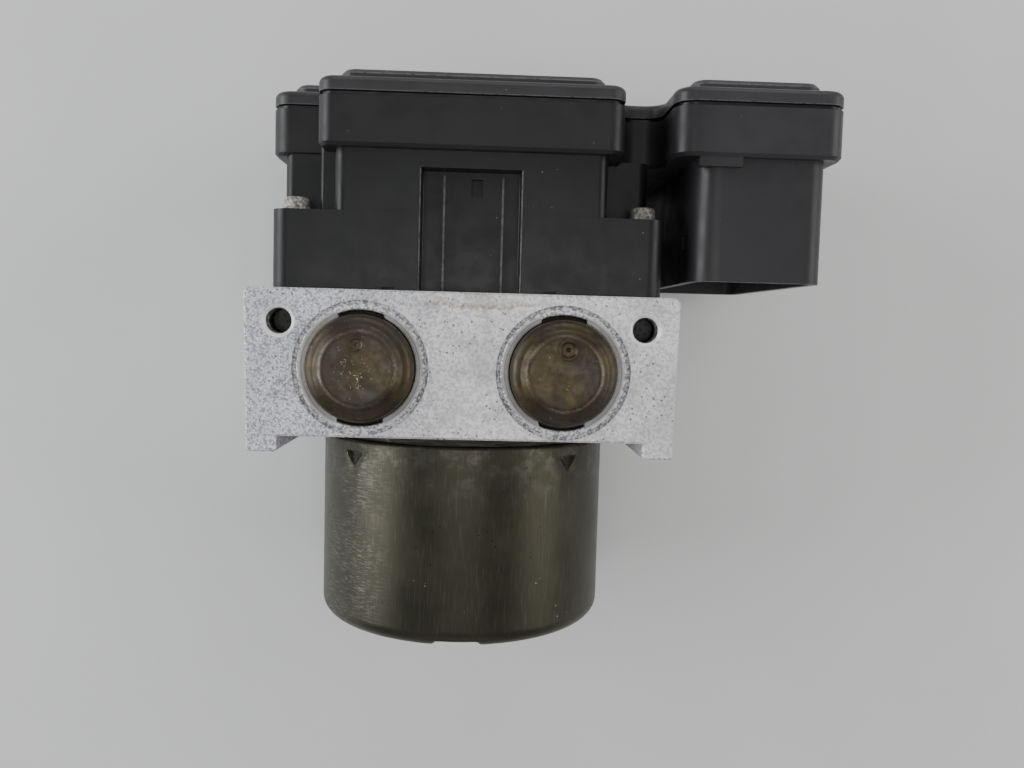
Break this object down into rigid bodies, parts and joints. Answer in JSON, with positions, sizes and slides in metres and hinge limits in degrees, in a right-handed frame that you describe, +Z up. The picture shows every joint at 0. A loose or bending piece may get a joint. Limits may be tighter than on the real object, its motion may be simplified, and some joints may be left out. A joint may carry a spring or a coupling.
{
  "type": "abs brake module",
  "caption": "Anti-lock brake module: drilled aluminium valve block with two accumulator caps, round pump motor, and black plastic control unit with a side connector shroud.",
  "frame": {"origin": "middle of the valve block's port face, which is its underside", "axes": "+Z up out of the accumulator face, +Y towards the control unit, -Y towards the motor, +X towards the connector"},
  "size_m": [0.1377, 0.1396, 0.0854],
  "materials": {
    "block_aluminium": "blasted, sawn and machined, lightly corroded",
    "cap_steel": "passivated pressed steel, brown with blotches",
    "ball_steel": "dull steel balls",
    "plug_steel": "plated steel",
    "screw_steel": "plated, dull and slightly corroded",
    "motor_steel": "dark phosphated deep-drawn steel, matt",
    "end_plate_steel": "dark cast aluminium rim, dirty",
    "unit_plastic": "glass-filled black plastic, matt",
    "cover_plastic": "black plastic, fine grain",
    "carrier_plastic": "black plastic",
    "holder_plastic": "dark brown phenolic plastic",
    "seal_rubber": "black rubber",
    "board_laminate": "green circuit board",
    "chip_resin": "moulded black resin",
    "capacitor_can": "drawn aluminium can",
    "choke_ferrite": "dark grey ferrite",
    "contact_metal": "tinned contact metal",
    "coil_copper": "enamelled copper winding",
    "commutator_copper": "turned copper with grooves",
    "yoke_steel": "plated soft iron",
    "valve_steel": "turned stainless steel",
    "spring_steel": "spring wire",
    "shaft_steel": "ground hardened steel",
    "bearing_steel": "ground bearing steel with shields",
    "core_steel": "laminated electrical steel",
    "magnet_ferrite": "ferrite magnet",
    "brush_carbon": "carbon brush",
    "piston_aluminium": "turned and anodised"
  },
  "bodies": {
    "module": {"accumulator_cap_left": "cap_steel", "accumulator_cap_right": "cap_steel", "accumulator_spring_left": "spring_steel", "accumulator_spring_right": "spring_steel", "board_capacitors": "capacitor_can", "board_choke": "choke_ferrite", "brush_holder": "holder_plastic", "brush_springs": "spring_steel", "brushes": "brush_carbon", "channel_ball_plugs": "ball_steel", "circuit_board": "board_laminate", "coil_leads": "contact_metal", "coil_yokes": "yoke_steel", "connector_pin_carrier": "carrier_plastic", "connector_pins": "contact_metal", "control_unit_cover": "cover_plastic", "control_unit_gasket": "seal_rubber", "control_unit_housing": "unit_plastic", "control_unit_screws": "screw_steel", "driver_chips": "chip_resin", "front_bearing": "bearing_steel", "inlet_valve_bodies": "valve_steel", "motor_contact_pins": "contact_metal", "motor_end_plate": "end_plate_steel", "motor_housing": "motor_steel", "motor_magnets": "magnet_ferrite", "motor_screws": "screw_steel", "motor_seal_ring": "seal_rubber", "outlet_valve_bodies": "valve_steel", "pilot_bearing": "bearing_steel", "power_blades": "contact_metal", "processor_chip": "chip_resin", "pump_cylinder_left": "shaft_steel", "pump_cylinder_right": "shaft_steel", "pump_plug_left": "plug_steel", "pump_plug_right": "plug_steel", "pump_spring_left": "spring_steel", "pump_spring_right": "spring_steel", "rear_bearing": "bearing_steel", "valve_block": "block_aluminium", "valve_coils": "coil_copper"},
    "rotor": {"motor_shaft": "shaft_steel", "eccentric_bearing": "bearing_steel", "armature_core": "core_steel", "armature_windings": "coil_copper", "commutator": "commutator_copper"},
    "pump_plunger_left": {"pump_piston_left": "shaft_steel"},
    "accumulator_plunger_left": {"accumulator_piston_left": "piston_aluminium", "accumulator_seal_left": "seal_rubber"},
    "pump_plunger_right": {"pump_piston_right": "shaft_steel"},
    "accumulator_plunger_right": {"accumulator_piston_right": "piston_aluminium", "accumulator_seal_right": "seal_rubber"},
    "inlet_armature_1": {"inlet_plunger_1": "valve_steel"},
    "outlet_armature_1": {"outlet_plunger_1": "valve_steel"},
    "inlet_armature_2": {"inlet_plunger_2": "valve_steel"},
    "outlet_armature_2": {"outlet_plunger_2": "valve_steel"},
    "inlet_armature_3": {"inlet_plunger_3": "valve_steel"},
    "outlet_armature_3": {"outlet_plunger_3": "valve_steel"},
    "inlet_armature_4": {"inlet_plunger_4": "valve_steel"},
    "outlet_armature_4": {"outlet_plunger_4": "valve_steel"}
  },
  "joints": [
    {"name": "rotor_spin", "type": "hinge", "parent": "module", "child": "rotor", "pos_m": [0, -0.04, 0.04], "axis": [0, 1, 0], "continuous": true},
    {"name": "pump_stroke_left", "type": "slide", "parent": "module", "child": "pump_plunger_left", "axis": [-1, 0, 0], "range_m": [0, 0.002], "stiffness_N_per_m": 1500, "springref_m": -0.003, "deforming": ["pump_spring_left"]},
    {"name": "pump_stroke_right", "type": "slide", "parent": "module", "child": "pump_plunger_right", "axis": [1, 0, 0], "range_m": [0, 0.002], "stiffness_N_per_m": 1500, "springref_m": -0.003, "deforming": ["pump_spring_right"]},
    {"name": "accumulator_stroke_left", "type": "slide", "parent": "module", "child": "accumulator_plunger_left", "axis": [0, 0, 1], "range_m": [0, 0.0065], "stiffness_N_per_m": 2000, "springref_m": -0.01, "deforming": ["accumulator_spring_left"]},
    {"name": "accumulator_stroke_right", "type": "slide", "parent": "module", "child": "accumulator_plunger_right", "axis": [0, 0, 1], "range_m": [0, 0.0065], "stiffness_N_per_m": 2000, "springref_m": -0.01, "deforming": ["accumulator_spring_right"]},
    {"name": "inlet_valve_1", "type": "slide", "parent": "module", "child": "inlet_armature_1", "axis": [0, -1, 0], "range_m": [0, 0.0003], "stiffness_N_per_m": 2500, "springref_m": -0.001},
    {"name": "outlet_valve_1", "type": "slide", "parent": "module", "child": "outlet_armature_1", "axis": [0, 1, 0], "range_m": [0, 0.0003], "stiffness_N_per_m": 2500, "springref_m": -0.001},
    {"name": "inlet_valve_2", "type": "slide", "parent": "module", "child": "inlet_armature_2", "axis": [0, -1, 0], "range_m": [0, 0.0003], "stiffness_N_per_m": 2500, "springref_m": -0.001},
    {"name": "outlet_valve_2", "type": "slide", "parent": "module", "child": "outlet_armature_2", "axis": [0, 1, 0], "range_m": [0, 0.0003], "stiffness_N_per_m": 2500, "springref_m": -0.001},
    {"name": "inlet_valve_3", "type": "slide", "parent": "module", "child": "inlet_armature_3", "axis": [0, -1, 0], "range_m": [0, 0.0003], "stiffness_N_per_m": 2500, "springref_m": -0.001},
    {"name": "outlet_valve_3", "type": "slide", "parent": "module", "child": "outlet_armature_3", "axis": [0, 1, 0], "range_m": [0, 0.0003], "stiffness_N_per_m": 2500, "springref_m": -0.001},
    {"name": "inlet_valve_4", "type": "slide", "parent": "module", "child": "inlet_armature_4", "axis": [0, -1, 0], "range_m": [0, 0.0003], "stiffness_N_per_m": 2500, "springref_m": -0.001},
    {"name": "outlet_valve_4", "type": "slide", "parent": "module", "child": "outlet_armature_4", "axis": [0, 1, 0], "range_m": [0, 0.0003], "stiffness_N_per_m": 2500, "springref_m": -0.001}
  ]
}
